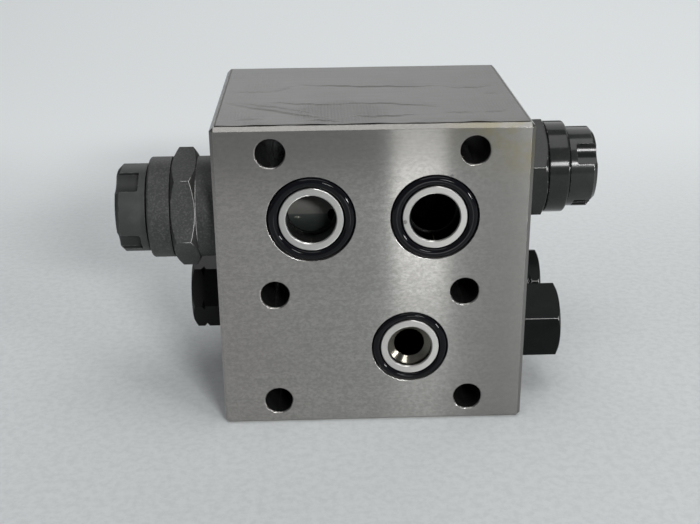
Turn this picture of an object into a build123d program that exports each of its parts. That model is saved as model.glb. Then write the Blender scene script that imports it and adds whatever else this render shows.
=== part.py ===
from build123d import *

import os
from math import cos, radians, sin, sqrt, tan
from typing import NamedTuple

# Hydraulic manifold block: a ground steel block with two service ports and a supply port on its front
# face, two cross-over relief valves in its upper half, two make-up check valves and a screw plug below.
#
# Frame: X to the right, Y from the front face to the back, Z up. The origin is the middle of the base.
# Each fitting is drawn along its own axis: distances count inward from the side face it is screwed into,
# so what stands outside the block is negative. All lengths are millimetres.

# ---- Block ------------------------------------------------------------------------------------------
block_width = 120.0
block_depth = 100.0
block_height = 123.5
block_edge = 1.5  # chamfer along every edge

# ---- Fits -------------------------------------------------------------------------------------------
thread_gap = 0.05  # radial, between a plain-turned thread and its hole
thread_room = 1.0  # how much deeper a threaded hole is than its thread
running_gap = 0.05  # radial, of a poppet in its guide
press_gap = 0.02  # radial, of a ring pushed into its bore
seal_gap = 0.05  # between a seal and each wall of its groove
seat_gap = 0.03  # left between a closed poppet and its seat
hex_face_inset = 0.3  # how far inside its flats a hexagon's chamfer starts
blank_margin = 1.0  # a turned blank stands this much outside a hexagon's corners

# ---- Mounting holes, right through from the front face ---------------------------------------------------
bolt_hole_r = 5.5
bolt_columns = 76.0  # spacing across X
bolt_low_z = 10.2
bolt_from_top = 10.0  # the top row's centres, below the top face
bolt_mid_z = 56.7
bolt_mid_shift = 2.4  # the right hole of the middle pair stands this much nearer the middle
hole_edge = 0.4  # chamfer at the mouth of a hole

# ---- Service ports, a pair on the front face -------------------------------------------------------------
port_r = 9.5
port_mouth_depth = 10.0
passage_r = 9.0  # past the port's mouth
port_x = 23.4
port_z = 87.4
port_groove_outer_r = 16.8
port_groove_inner_r = 12.4
port_cord_r = 2.05  # half the thickness of the O-ring's cord
port_ring_proud = 0.6  # how far an O-ring stands out of its groove
groove_edge = 0.25  # chamfer along the edges of the grooves
port_past_inlet = 5.0  # the left passage is bored this far past the right valve's inlet drilling

# ---- Supply port -------------------------------------------------------------------------------------
supply_r = 6.0
supply_x = 14.5
supply_z = 33.1
supply_mouth_r = 8.6
supply_mouth_depth = 2.6
supply_groove_outer_r = 15.0
supply_groove_inner_r = 11.6
supply_cord_r = 1.5
supply_ring_proud = 0.4
supply_end_r = 4.0  # the gallery is drilled smaller past the left check valve
supply_past_check = 6.0  # how far past the left check valve the full bore runs
drill_point = 59.0  # half the angle of a drill's point, in degrees

# ---- Relief valves -------------------------------------------------------------------------------------
relief_offset_y = 22.0  # the left one stands this much in front of the middle, the right one behind it
relief_z = 84.0
neck_length = 7.7
relief_hex_length = 9.5
collar_length = 9.3  # with the undercut beside the hexagon
flange_r = 20.0  # neck and collar
collar_edge = 0.9  # radius
undercut_length = 0.5
undercut_r = 18.6
relief_hex_flats = 41.0
hex_chamfer_angle = 30.0
relief_hex_turn = {"left": 43.0, "right": 16.0}  # how far a corner stands above straight forward
relief_thread_r = 18.0
relief_seal_wall = 1.0  # the seal's counterbore is this much wider than the thread, all round
relief_thread_length = 15.2
relief_neck_r = 16.3  # under the body seal
relief_seal_depth = 2.8
relief_sleeve_r = 13.0
relief_cavity_r = 17.0
relief_sleeve_length = 32.0
nose_r = 12.0
nose_length = 8.0
nose_gap = 0.08
nose_room = 1.0  # left past the end of the nose
nose_groove_r = 10.0
nose_groove_length = 3.8
nose_seal_length = 2.2
backup_length = 1.4
inlet_r = 7.0
spring_bore_r = 9.5
outlet_r = 3.0
outlet_count = 6
outlet_to_nose = 4.0  # outlet holes' centres, in front of the nose
adjuster_r = 6.0
adjuster_wall = 17.2  # length of the adjuster's thread in the body
spigot_r = 15.0
spigot_length = 2.7

# ---- Relief valve's inner pieces -------------------------------------------------------------------------
relief_seat_length = 9.0
relief_seat_r = 5.0
poppet_guide_length = 13.0
poppet_waist_r = 6.5
poppet_waist_length = 6.5
poppet_tip_r = 2.5
pilot_r = 5.0
pilot_length = 4.0
spring_wire = 2.6  # side of its square wire
spring_mean_r = 7.2
spring_turns = 5.0
spring_length = 31.0
carrier_length = 6.5
carrier_gap = 0.1
carrier_room = 2.5  # left behind the carrier
carrier_groove_length = 2.8
carrier_seal_wall = 2.1  # from the bottom of the carrier's groove to its bore
lock_nut_flats = 19.0
lock_nut_height = 6.0
adjuster_beyond_nut = 1.4
adjuster_socket_flats = 6.0
adjuster_socket_depth = 6.0

# ---- Relief valve's cap --------------------------------------------------------------------------------------
cap_r = 17.45
cap_length = 11.7
cap_stand_off = 0.8  # dark gap between the collar and the cap's rim
cap_edge = 1.7
cap_wall = 2.0
cap_bore_r = 11.6
cap_rim_depth = 2.1
cap_gap = 0.05  # radial, between the cap's rim and the spigot
notch_count = 4
notch_width = 9.1
notch_length = 9.0
notch_wall = 1.5  # straight part of a notch's sides
notch_hollow = 1.2  # how much deeper its floor is in the middle
notch_corner_r = 1.0  # at the closed end of a notch
notch_turn = {"left": 54.5, "right": 35.0}

# ---- Check valves ----------------------------------------------------------------------------------------
check_y = {"left": -4.0, "right": 20.0}
check_z = {"left": 39.5, "right": 30.8}
check_hex_length = {"left": 13.9, "right": 17.0}
check_hex_turn = {"left": 57.0, "right": 20.0}
check_hex_flats = 27.0
hex_face_length = 0.6  # turned bearing face under a plug's hexagon
ring_groove_from_end = 5.2  # V groove that marks the hexagon's corners
ring_groove_width = 2.0
ring_groove_depth = 1.25
check_thread_r = 11.0
check_seal_wall = 1.1
check_face_r = 13.0
check_thread_length = 11.1
check_neck_r = 9.6
check_seal_depth = 2.4
check_cavity_r = 9.0
check_sleeve_r = 8.7
check_sleeve_length = 8.5
check_stem_r = 6.0
check_guide_floor = 4.0
check_seat_r = 5.0
check_head_r = 7.5
check_head_length = 2.0
check_tip_r = 3.0
check_stem_start = 15.0
check_spring_wire = 1.2
check_spring_mean_r = 4.6
check_spring_turns = 4.0

# ---- Gallery screw plug, right side --------------------------------------------------------------------
gallery_plug_y = -17.0
gallery_plug_z = 28.2
gallery_hex_flats = 30.0
gallery_hex_length = 18.1
gallery_hex_turn = 26.0
gallery_thread_r = 13.0
gallery_thread_length = 11.4
gallery_neck_r = 11.4
gallery_seal_depth = 2.6
gallery_seal_wall = 1.0
gallery_face_r = 14.5
gallery_drill_r = 6.0

# ---- Riser drillings from the base, each closed by a socket plug ---------------------------------------
riser_r = 4.0
riser_to_seat = 0.6  # from a riser's wall to the seat of the check valve that it passes
riser_plug_r = 5.0
riser_plug_length = 8.0
riser_plug_recess = 0.5
riser_plug_room = 0.5  # mouth's depth past the plug
riser_socket_flats = 5.0
riser_socket_depth = 4.5

# ---- Protective film on the top face --------------------------------------------------------------------
film_thickness = 0.6
film_margin = 0.3  # inside the top edge's chamfer

front_y = -block_depth / 2
half_width = block_width / 2
tolerance = 0.01  # within which two lengths count as equal
hex_corner = 1 / cos(radians(30))  # a hexagon's corner radius over half its width across flats


class Station(NamedTuple):
    """The axis of a bore or a fitting: its mouth on the block, the way in and two directions across."""

    mouth: Vector
    inward: Vector
    forward: Vector
    up: Vector

    def axis(self):
        """The axis itself, pointing into the block."""
        return Axis(self.mouth, self.inward)

    def profile(self):
        """Plane of a half section: local x is the depth and local y the radius."""
        return Plane(origin=self.mouth, x_dir=self.inward, z_dir=self.inward.cross(self.forward))

    def across(self, depth, turn=0.0):
        """Plane square to the axis and facing inward, its local x turned so far above forward."""
        local_x = self.forward * cos(radians(turn)) + self.up * sin(radians(turn))
        return Plane(origin=self.mouth + self.inward * depth, x_dir=local_x, z_dir=self.inward)


def side_station(side, y, z):
    """Station of a fitting that is screwed into the left or the right face."""
    inward = 1 if side == "left" else -1
    return Station(Vector(-inward * half_width, y, z), Vector(inward, 0, 0), Vector(0, -1, 0), Vector(0, 0, 1))


def front_station(x, z):
    """Station of a bore in the front face."""
    return Station(Vector(x, front_y, z), Vector(0, 1, 0), Vector(1, 0, 0), Vector(0, 0, 1))


def base_station(x, y):
    """Station of a drilling from the base."""
    return Station(Vector(x, y, 0), Vector(0, 0, 1), Vector(1, 0, 0), Vector(0, 1, 0))


def turn(station, points, mode=Mode.ADD):
    """Turns a half section, given as (depth, radius) points, about a station's axis."""
    with BuildSketch(station.profile()) as section:
        with BuildLine():
            Polyline(*points, close=True)
        make_face()
    revolve(section.sketch, axis=station.axis(), mode=mode)


def bore(station, *steps, start=0.0):
    """Bores a stepped hole: each step is the radius of the hole and the depth that it runs to."""
    points = [(start, 0)]
    depth = start
    for radius, end in steps:
        points += [(depth, radius), (end, radius)]
        depth = end
    turn(station, points + [(depth, 0)], Mode.SUBTRACT)


def cut_groove(station, inner_r, outer_r, depth):
    """Cuts a face groove with chamfered edges around a station's axis."""
    inner_side = [(0, inner_r - groove_edge), (groove_edge, inner_r), (depth, inner_r)]
    outer_side = [(depth, outer_r), (groove_edge, outer_r), (0, outer_r + groove_edge)]
    turn(station, inner_side + outer_side, Mode.SUBTRACT)


def break_mouth(station, radius):
    """Chamfers the mouth of a hole."""
    turn(station, [(0, 0), (0, radius + hole_edge), (hole_edge, radius), (hole_edge, 0)], Mode.SUBTRACT)


def hexagon(station, start, end, flats, angle, both_ends):
    """Hexagon with its corners chamfered by a cone at the outer end, or at both ends."""
    with BuildSketch(station.across(start, angle)) as outline:
        RegularPolygon(radius=flats / 2, side_count=6, major_radius=False)
    extrude(outline.sketch, amount=end - start)
    face_r = flats / 2 - hex_face_inset
    blank_r = flats / 2 * hex_corner + blank_margin
    run = (blank_r - face_r) * tan(radians(hex_chamfer_angle))
    points = [(start, 0), (start, face_r), (start + run, blank_r)]
    points += [(end - run, blank_r), (end, face_r), (end, 0)] if both_ends else [(end, blank_r), (end, 0)]
    turn(station, points, Mode.INTERSECT)


def turn_ring(station, start, end, inner_r, outer_r):
    """Makes a plain ring of rectangular section."""
    turn(station, [(start, inner_r), (start, outer_r), (end, outer_r), (end, inner_r)])


def cut_socket(station, mouth, depth, flats):
    """Cuts a hexagon socket."""
    with BuildSketch(station.across(mouth)) as outline:
        RegularPolygon(radius=flats / 2, side_count=6, major_radius=False)
    extrude(outline.sketch, amount=depth, mode=Mode.SUBTRACT)


def turn_cord(station, depth, mean_r, cord_r):
    """Makes an O-ring: a round cord turned about a station's axis, its middle at the given depth."""
    with BuildSketch(station.profile()) as section:
        with Locations((depth, mean_r)):
            Circle(cord_r)
    revolve(section.sketch, axis=station.axis())


def turn_seal(station, start, end, inner_r, outer_r):
    """Makes a flat seal ring that fills a groove, apart from the gap at each wall."""
    turn_ring(station, start + seal_gap, end - seal_gap, inner_r + seal_gap, outer_r - seal_gap)


def rim(part, station, depth, radius):
    """Finds the circular edges of a turned piece at one depth and radius."""
    middle = station.across(depth).origin

    def on_rim(edge):
        return (edge.arc_center - middle).length < tolerance and abs(edge.radius - radius) < tolerance

    return part.edges().filter_by(GeomType.CIRCLE).filter_by(on_rim)


def coil(station, start, end, mean_r, wire, turns):
    """Coils a compression spring of square wire between two depths."""
    height = end - start - wire
    first = station.mouth + station.inward * (start + wire / 2)
    with BuildLine() as path:
        Helix(pitch=height / turns, height=height, radius=mean_r, center=first, direction=station.inward)
    with BuildSketch(Plane(origin=path.line @ 0, x_dir=path.line @ 0 - first, z_dir=path.line % 0)) as section:
        Rectangle(wire, wire)
    sweep(section.sketch, path=path.line, is_frenet=True)


def keep(part, name):
    """Labels a finished piece and writes it as a node of its own."""
    part.label = name
    export_step(part, f"parts/{name}.step")


os.makedirs("parts", exist_ok=True)

# ---- Where each bore and fitting stands -------------------------------------------------------------------
sides = ("left", "right")
relief_y = {"left": -relief_offset_y, "right": relief_offset_y}
port_columns = {"left": -port_x, "right": port_x}
port_names = {"left": "port_a", "right": "port_b"}
relief = {side: side_station(side, relief_y[side], relief_z) for side in sides}
check = {side: side_station(side, check_y[side], check_z[side]) for side in sides}
port = {side: front_station(port_columns[side], port_z) for side in sides}
riser = {side: base_station(port_columns[side], check_y[side]) for side in sides}
gallery = side_station("right", gallery_plug_y, gallery_plug_z)
supply = front_station(supply_x, supply_z)

# ---- Depths along a relief valve ----------------------------------------------------------------------------
hex_inner = -neck_length
hex_outer = hex_inner - relief_hex_length
collar_inner = hex_outer - undercut_length
collar_outer = hex_outer - collar_length
spigot_outer = collar_outer - spigot_length
thread_inner = relief_seal_depth + relief_thread_length
sleeve_inner = thread_inner + relief_sleeve_length
nose_inner = sleeve_inner + nose_length
nose_groove_inner = nose_inner - (nose_length - nose_groove_length) / 2
nose_groove_outer = nose_groove_inner - nose_groove_length
seat_outer = nose_inner - relief_seat_length
cone_outer = seat_outer - seat_gap - (poppet_waist_r - relief_seat_r)
guide_inner = cone_outer - poppet_waist_length
guide_outer = guide_inner - poppet_guide_length
carrier_inner = guide_outer - spring_length
carrier_outer = carrier_inner - carrier_length
spring_bore_outer = carrier_outer - carrier_room
adjuster_hole_r = adjuster_r + thread_gap
nut_outer = spigot_outer - lock_nut_height
adjuster_outer = nut_outer - adjuster_beyond_nut
cap_inner = collar_outer - cap_stand_off
cap_outer = cap_inner - cap_length
relief_seal_outer_r = relief_thread_r + relief_seal_wall

# ---- Depths along a check valve -------------------------------------------------------------------------------
check_thread_inner = check_seal_depth + check_thread_length
check_sleeve_inner = check_thread_inner + check_sleeve_length
check_cavity_inner = half_width - port_x + riser_r + riser_to_seat
check_cone_outer = check_cavity_inner - seat_gap - (check_head_r - check_seat_r)
check_head_outer = check_cone_outer - check_head_length
check_seal_outer_r = check_thread_r + check_seal_wall

# ---- Depths along the gallery plug ------------------------------------------------------------------------------
gallery_thread_inner = gallery_seal_depth + gallery_thread_length
gallery_seal_outer_r = gallery_thread_r + gallery_seal_wall

# ---- Block ------------------------------------------------------------------------------------------------------
bolt_x = bolt_columns / 2
bolt_high_z = block_height - bolt_from_top
bolt_places = [(x, z) for x in (-bolt_x, bolt_x) for z in (bolt_low_z, bolt_high_z)]
bolt_places += [(-bolt_x, bolt_mid_z), (bolt_x - bolt_mid_shift, bolt_mid_z)]

with BuildPart() as manifold_block:
    with BuildSketch():
        Rectangle(block_width, block_depth)
    extrude(amount=block_height)
    chamfer(manifold_block.edges(), length=block_edge)
    with BuildSketch(Plane(origin=(0, front_y, 0), x_dir=(1, 0, 0), z_dir=(0, -1, 0))):
        with Locations(*bolt_places):
            Circle(bolt_hole_r)
    extrude(amount=-block_depth, mode=Mode.SUBTRACT)
    chamfer(manifold_block.edges().filter_by(GeomType.CIRCLE), length=hole_edge)

    for side in sides:
        # The passage of this side's port meets this side's relief valve and the other one's inlet.
        other = "right" if side == "left" else "left"
        far_valve = relief_offset_y - front_y
        port_end = far_valve + port_past_inlet if side == "left" else far_valve
        bore(port[side], (port_r, port_mouth_depth), (passage_r, port_end))
        break_mouth(port[side], port_r)
        cut_groove(port[side], port_groove_inner_r, port_groove_outer_r, 2 * port_cord_r - port_ring_proud)
        bore(
            relief[side],
            (relief_seal_outer_r, relief_seal_depth),
            (relief_thread_r + thread_gap, thread_inner + thread_room),
            (relief_cavity_r, sleeve_inner + nose_room),
            (nose_r + nose_gap, nose_inner + nose_room),
            (inlet_r, half_width + port_x),
        )
        bore(
            check[side],
            (check_seal_outer_r, check_seal_depth),
            (check_thread_r + thread_gap, check_thread_inner + thread_room),
            (check_cavity_r, check_cavity_inner),
            (check_seat_r, half_width - supply_x if side == "right" else half_width + supply_x),
        )
        riser_end = port_z if side == "left" else relief_z
        riser_mouth = riser_plug_recess + riser_plug_length + riser_plug_room
        bore(riser[side], (riser_plug_r + press_gap, riser_mouth), (riser_r, riser_end))

    supply_mouth_end = supply_mouth_depth + (supply_mouth_r - supply_r) / tan(radians(drill_point))
    supply_full_end = check_y["left"] + supply_past_check - front_y
    supply_end = check_y["right"] - front_y
    supply_mouth = [(0, 0), (0, supply_mouth_r), (supply_mouth_depth, supply_mouth_r)]
    turn(supply, supply_mouth + [(supply_mouth_end, supply_r), (supply_mouth_end, 0)], Mode.SUBTRACT)
    bore(supply, (supply_r, supply_full_end), (supply_end_r, supply_end))
    break_mouth(supply, supply_mouth_r)
    cut_groove(supply, supply_groove_inner_r, supply_groove_outer_r, 2 * supply_cord_r - supply_ring_proud)
    bore(
        gallery,
        (gallery_seal_outer_r, gallery_seal_depth),
        (gallery_thread_r + thread_gap, gallery_thread_inner + thread_room),
        (gallery_drill_r, half_width - supply_x),
    )
keep(manifold_block.part, "manifold_block")

# ---- O-rings of the ports, each standing a little out of its groove -----------------------------------------
for side in sides:
    with BuildPart() as port_o_ring:
        mean_r = (port_groove_inner_r + port_groove_outer_r) / 2
        turn_cord(port[side], port_cord_r - port_ring_proud, mean_r, port_cord_r)
    keep(port_o_ring.part, f"{port_names[side]}_o_ring")

with BuildPart() as supply_o_ring:
    mean_r = (supply_groove_inner_r + supply_groove_outer_r) / 2
    turn_cord(supply, supply_cord_r - supply_ring_proud, mean_r, supply_cord_r)
keep(supply_o_ring.part, "supply_port_o_ring")

# ---- Relief valves -----------------------------------------------------------------------------------------------
for side in sides:
    valve = relief[side]

    with BuildPart() as relief_body:
        hexagon(valve, hex_outer, hex_inner, relief_hex_flats, relief_hex_turn[side], both_ends=True)
        spigot = [(spigot_outer, 0), (spigot_outer, spigot_r), (collar_outer, spigot_r)]
        collar = [(collar_outer, flange_r), (collar_inner, flange_r)]
        collar += [(collar_inner, undercut_r), (hex_inner, undercut_r)]
        neck = [(hex_inner, flange_r), (0, flange_r), (0, relief_neck_r), (relief_seal_depth, relief_neck_r)]
        thread = [(relief_seal_depth, relief_thread_r), (thread_inner, relief_thread_r)]
        sleeve = [(thread_inner, relief_sleeve_r), (sleeve_inner, relief_sleeve_r), (sleeve_inner, nose_r)]
        nose = [(nose_groove_outer, nose_r), (nose_groove_outer, nose_groove_r)]
        nose += [(nose_groove_inner, nose_groove_r), (nose_groove_inner, nose_r), (nose_inner, nose_r)]
        turn(valve, spigot + collar + neck + thread + sleeve + nose + [(nose_inner, 0)])
        fillet(rim(relief_body, valve, collar_outer, flange_r), radius=collar_edge)
        bore(valve, (adjuster_hole_r, spring_bore_outer), (spring_bore_r, nose_inner), start=spigot_outer)
        outlet_depth = sleeve_inner - outlet_to_nose
        for outlet in range(outlet_count):
            outward = valve.across(outlet_depth, outlet * 360 / outlet_count).x_dir
            with BuildSketch(Plane(origin=valve.across(outlet_depth).origin, z_dir=outward)):
                Circle(outlet_r)
            extrude(amount=relief_sleeve_r + blank_margin, mode=Mode.SUBTRACT)
    keep(relief_body.part, f"{side}_relief_body")

    with BuildPart() as body_seal:
        turn_seal(valve, 0, relief_seal_depth, relief_neck_r, relief_seal_outer_r)
    keep(body_seal.part, f"{side}_relief_body_seal")

    with BuildPart() as nose_seal:
        nose_seal_inner = nose_groove_outer + nose_seal_length
        turn_seal(valve, nose_groove_outer, nose_seal_inner, nose_groove_r, nose_r + nose_gap)
    keep(nose_seal.part, f"{side}_relief_nose_seal")

    with BuildPart() as backup_ring:
        backup_outer = nose_groove_inner - backup_length
        turn_seal(valve, backup_outer, nose_groove_inner, nose_groove_r, nose_r + nose_gap)
    keep(backup_ring.part, f"{side}_relief_backup_ring")

    with BuildPart() as relief_seat:
        turn_ring(valve, seat_outer, nose_inner, relief_seat_r, spring_bore_r - press_gap)
    keep(relief_seat.part, f"{side}_relief_seat")

    with BuildPart() as relief_poppet:
        poppet_r = spring_bore_r - running_gap
        pilot_outer = guide_outer - pilot_length
        pilot = [(pilot_outer, 0), (pilot_outer, pilot_r), (guide_outer, pilot_r)]
        guide = [(guide_outer, poppet_r), (guide_inner, poppet_r), (guide_inner, poppet_waist_r)]
        tip_inner = cone_outer + poppet_waist_r - poppet_tip_r
        turn(valve, pilot + guide + [(cone_outer, poppet_waist_r), (tip_inner, poppet_tip_r), (tip_inner, 0)])
    keep(relief_poppet.part, f"{side}_relief_poppet")

    with BuildPart() as relief_spring:
        coil(valve, carrier_inner, guide_outer, spring_mean_r, spring_wire, spring_turns)
    keep(relief_spring.part, f"{side}_relief_spring")

    with BuildPart() as spring_carrier:
        carrier_r = spring_bore_r - carrier_gap
        groove_inner = carrier_inner - (carrier_length - carrier_groove_length) / 2
        groove_outer = groove_inner - carrier_groove_length
        groove_r = spring_bore_r - carrier_seal_wall
        flange = [(carrier_outer, 0), (carrier_outer, carrier_r), (groove_outer, carrier_r)]
        flange += [(groove_outer, groove_r), (groove_inner, groove_r), (groove_inner, carrier_r)]
        stub = [(carrier_inner, carrier_r), (carrier_inner, pilot_r), (carrier_inner + pilot_length, pilot_r)]
        turn(valve, flange + stub + [(carrier_inner + pilot_length, 0)])
    keep(spring_carrier.part, f"{side}_relief_spring_carrier")

    with BuildPart() as carrier_seal:
        turn_seal(valve, groove_outer, groove_inner, groove_r, spring_bore_r)
    keep(carrier_seal.part, f"{side}_relief_carrier_seal")

    with BuildPart() as adjusting_screw:
        turn_ring(valve, adjuster_outer, carrier_outer, 0, adjuster_r)
        cut_socket(valve, adjuster_outer, adjuster_socket_depth, adjuster_socket_flats)
    keep(adjusting_screw.part, f"{side}_relief_adjusting_screw")

    with BuildPart() as lock_nut:
        hexagon(valve, nut_outer, spigot_outer, lock_nut_flats, 0, both_ends=True)
        bore(valve, (adjuster_hole_r, spigot_outer), start=nut_outer)
    keep(lock_nut.part, f"{side}_relief_lock_nut")

    with BuildPart() as cap:
        crown = [(cap_outer, 0), (cap_outer, cap_r - cap_edge), (cap_outer + cap_edge, cap_r)]
        turn(valve, crown + [(cap_inner, cap_r), (cap_inner, 0)])
        bore(valve, (cap_bore_r, cap_inner), start=cap_outer + cap_wall)
        bore(valve, (spigot_r + cap_gap, cap_inner), start=cap_inner - cap_rim_depth)
        for notch in range(notch_count):
            angle = notch_turn[side] + notch * 360 / notch_count
            with BuildSketch(valve.across(cap_outer, angle)):
                with BuildLine():
                    floor_r = sqrt(cap_r**2 - (notch_width / 2) ** 2) - notch_wall
                    outside_r = cap_r + blank_margin
                    edge = notch_width / 2
                    Polyline((floor_r, edge), (outside_r, edge), (outside_r, -edge), (floor_r, -edge))
                    ThreePointArc((floor_r, -edge), (floor_r - notch_hollow, 0), (floor_r, edge))
                make_face()
            extrude(amount=notch_length, mode=Mode.SUBTRACT)
        notch_end = valve.across(cap_outer + notch_length).origin.X
        notch_corners = cap.edges().filter_by(GeomType.LINE).filter_by_position(Axis.X, notch_end, notch_end)
        fillet(notch_corners, radius=notch_corner_r)
    keep(cap.part, f"{side}_relief_cap")

# ---- Check valves --------------------------------------------------------------------------------------------------
for side in sides:
    valve = check[side]
    guide_r = check_stem_r + running_gap

    with BuildPart() as check_plug:
        plug_outer = -hex_face_length - check_hex_length[side]
        hexagon(
            valve, plug_outer, -hex_face_length, check_hex_flats, check_hex_turn[side], both_ends=False
        )
        corner_r = check_hex_flats / 2 * hex_corner
        notch_middle = plug_outer + ring_groove_from_end
        notch_half = ring_groove_width / 2
        notch = [(notch_middle - notch_half, corner_r), (notch_middle, corner_r - ring_groove_depth)]
        turn(valve, notch + [(notch_middle + notch_half, corner_r)], Mode.SUBTRACT)
        face = [(-hex_face_length, 0), (-hex_face_length, check_face_r), (0, check_face_r)]
        neck = [(0, check_neck_r), (check_seal_depth, check_neck_r), (check_seal_depth, check_thread_r)]
        thread = [(check_thread_inner, check_thread_r), (check_thread_inner, check_sleeve_r)]
        turn(valve, face + neck + thread + [(check_sleeve_inner, check_sleeve_r), (check_sleeve_inner, 0)])
        bore(valve, (guide_r, check_sleeve_inner), start=check_guide_floor)
    keep(check_plug.part, f"{side}_check_plug")

    with BuildPart() as check_seal:
        turn_seal(valve, 0, check_seal_depth, check_neck_r, check_seal_outer_r)
    keep(check_seal.part, f"{side}_check_plug_seal")

    with BuildPart() as check_poppet:
        tip_inner = check_cone_outer + check_head_r - check_tip_r
        stem = [(check_stem_start, 0), (check_stem_start, check_stem_r), (check_head_outer, check_stem_r)]
        head = [(check_head_outer, check_head_r), (check_cone_outer, check_head_r)]
        turn(valve, stem + head + [(tip_inner, check_tip_r), (tip_inner, 0)])
    keep(check_poppet.part, f"{side}_check_poppet")

    with BuildPart() as check_spring:
        spring_ends = (check_guide_floor, check_stem_start)
        coil(valve, *spring_ends, check_spring_mean_r, check_spring_wire, check_spring_turns)
    keep(check_spring.part, f"{side}_check_spring")

# ---- Gallery plug ----------------------------------------------------------------------------------------------------
with BuildPart() as gallery_plug:
    plug_outer = -hex_face_length - gallery_hex_length
    hexagon(gallery, plug_outer, -hex_face_length, gallery_hex_flats, gallery_hex_turn, both_ends=False)
    face = [(-hex_face_length, 0), (-hex_face_length, gallery_face_r), (0, gallery_face_r)]
    neck = [(0, gallery_neck_r), (gallery_seal_depth, gallery_neck_r), (gallery_seal_depth, gallery_thread_r)]
    turn(gallery, face + neck + [(gallery_thread_inner, gallery_thread_r), (gallery_thread_inner, 0)])
keep(gallery_plug.part, "gallery_plug")

with BuildPart() as gallery_seal:
    turn_seal(gallery, 0, gallery_seal_depth, gallery_neck_r, gallery_seal_outer_r)
keep(gallery_seal.part, "gallery_plug_seal")

# ---- Riser plugs -------------------------------------------------------------------------------------------------------
for side in sides:
    with BuildPart() as riser_plug:
        turn_ring(riser[side], riser_plug_recess, riser_plug_recess + riser_plug_length, 0, riser_plug_r)
        cut_socket(riser[side], riser_plug_recess, riser_socket_depth, riser_socket_flats)
    keep(riser_plug.part, f"{side}_riser_plug")

# ---- Film ----------------------------------------------------------------------------------------------------------------
with BuildPart() as protective_film:
    with BuildSketch(Plane.XY.offset(block_height)):
        film_inset = 2 * (block_edge + film_margin)
        Rectangle(block_width - film_inset, block_depth - film_inset)
    extrude(amount=film_thickness)
keep(protective_film.part, "protective_film")
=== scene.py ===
"""Looks of the hydraulic manifold block: steel, black oxide, rubber, plastic and film, in a plain studio.

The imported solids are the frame. This file gives each of them its finish, lays the wrinkled film over the
top, winds the four springs and adds the oil that clings inside a port. Lengths are written in millimetres
and turned into metres where they meet a mesh or a lamp.
"""

import logging
import math
from dataclasses import dataclass, field, replace
from enum import Enum
from typing import Optional, Sequence, Union

import bpy
import numpy as np
from mathutils import Euler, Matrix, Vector


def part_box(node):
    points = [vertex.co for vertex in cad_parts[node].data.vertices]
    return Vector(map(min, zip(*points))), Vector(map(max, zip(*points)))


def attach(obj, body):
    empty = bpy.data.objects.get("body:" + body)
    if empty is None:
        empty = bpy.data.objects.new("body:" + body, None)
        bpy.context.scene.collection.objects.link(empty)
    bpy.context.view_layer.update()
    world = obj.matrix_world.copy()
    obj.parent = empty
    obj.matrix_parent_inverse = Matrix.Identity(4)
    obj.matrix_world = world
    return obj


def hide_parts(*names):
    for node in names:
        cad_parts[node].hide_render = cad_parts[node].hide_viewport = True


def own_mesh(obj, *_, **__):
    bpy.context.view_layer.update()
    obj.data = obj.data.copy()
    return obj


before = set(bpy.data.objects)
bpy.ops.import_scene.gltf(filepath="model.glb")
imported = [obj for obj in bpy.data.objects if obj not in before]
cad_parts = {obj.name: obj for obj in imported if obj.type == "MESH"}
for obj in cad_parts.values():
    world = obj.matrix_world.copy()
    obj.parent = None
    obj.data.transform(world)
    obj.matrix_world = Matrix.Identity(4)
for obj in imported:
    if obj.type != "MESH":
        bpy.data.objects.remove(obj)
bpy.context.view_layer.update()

MM = 0.001
log = logging.getLogger("manifold")


class Side(Enum):
    """The side of the block that a fitting is screwed into; its value is the way out along X."""

    LEFT = -1
    RIGHT = 1

    @property
    def word(self) -> str:
        """The side's name as the nodes spell it."""
        return self.name.lower()


Number = Union[float, "Signal"]
Colour = tuple[float, float, float]


@dataclass(frozen=True)
class Signal:
    """A quantity that varies over a surface: one output socket in a material's nodes.

    The usual arithmetic works on it, so a pattern reads as its formula.
    """

    graph: "Graph"
    socket: bpy.types.NodeSocket

    def __add__(self, other: Number) -> "Signal":
        """Sum."""
        return self.graph.math("ADD", self, other)

    def __sub__(self, other: Number) -> "Signal":
        """Difference."""
        return self.graph.math("SUBTRACT", self, other)

    def __rsub__(self, other: Number) -> "Signal":
        """Difference from a plain number."""
        return self.graph.math("SUBTRACT", other, self)

    def __mul__(self, other: Number) -> "Signal":
        """Product."""
        return self.graph.math("MULTIPLY", self, other)

    def __truediv__(self, other: Number) -> "Signal":
        """Quotient."""
        return self.graph.math("DIVIDE", self, other)

    __radd__ = __add__


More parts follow.
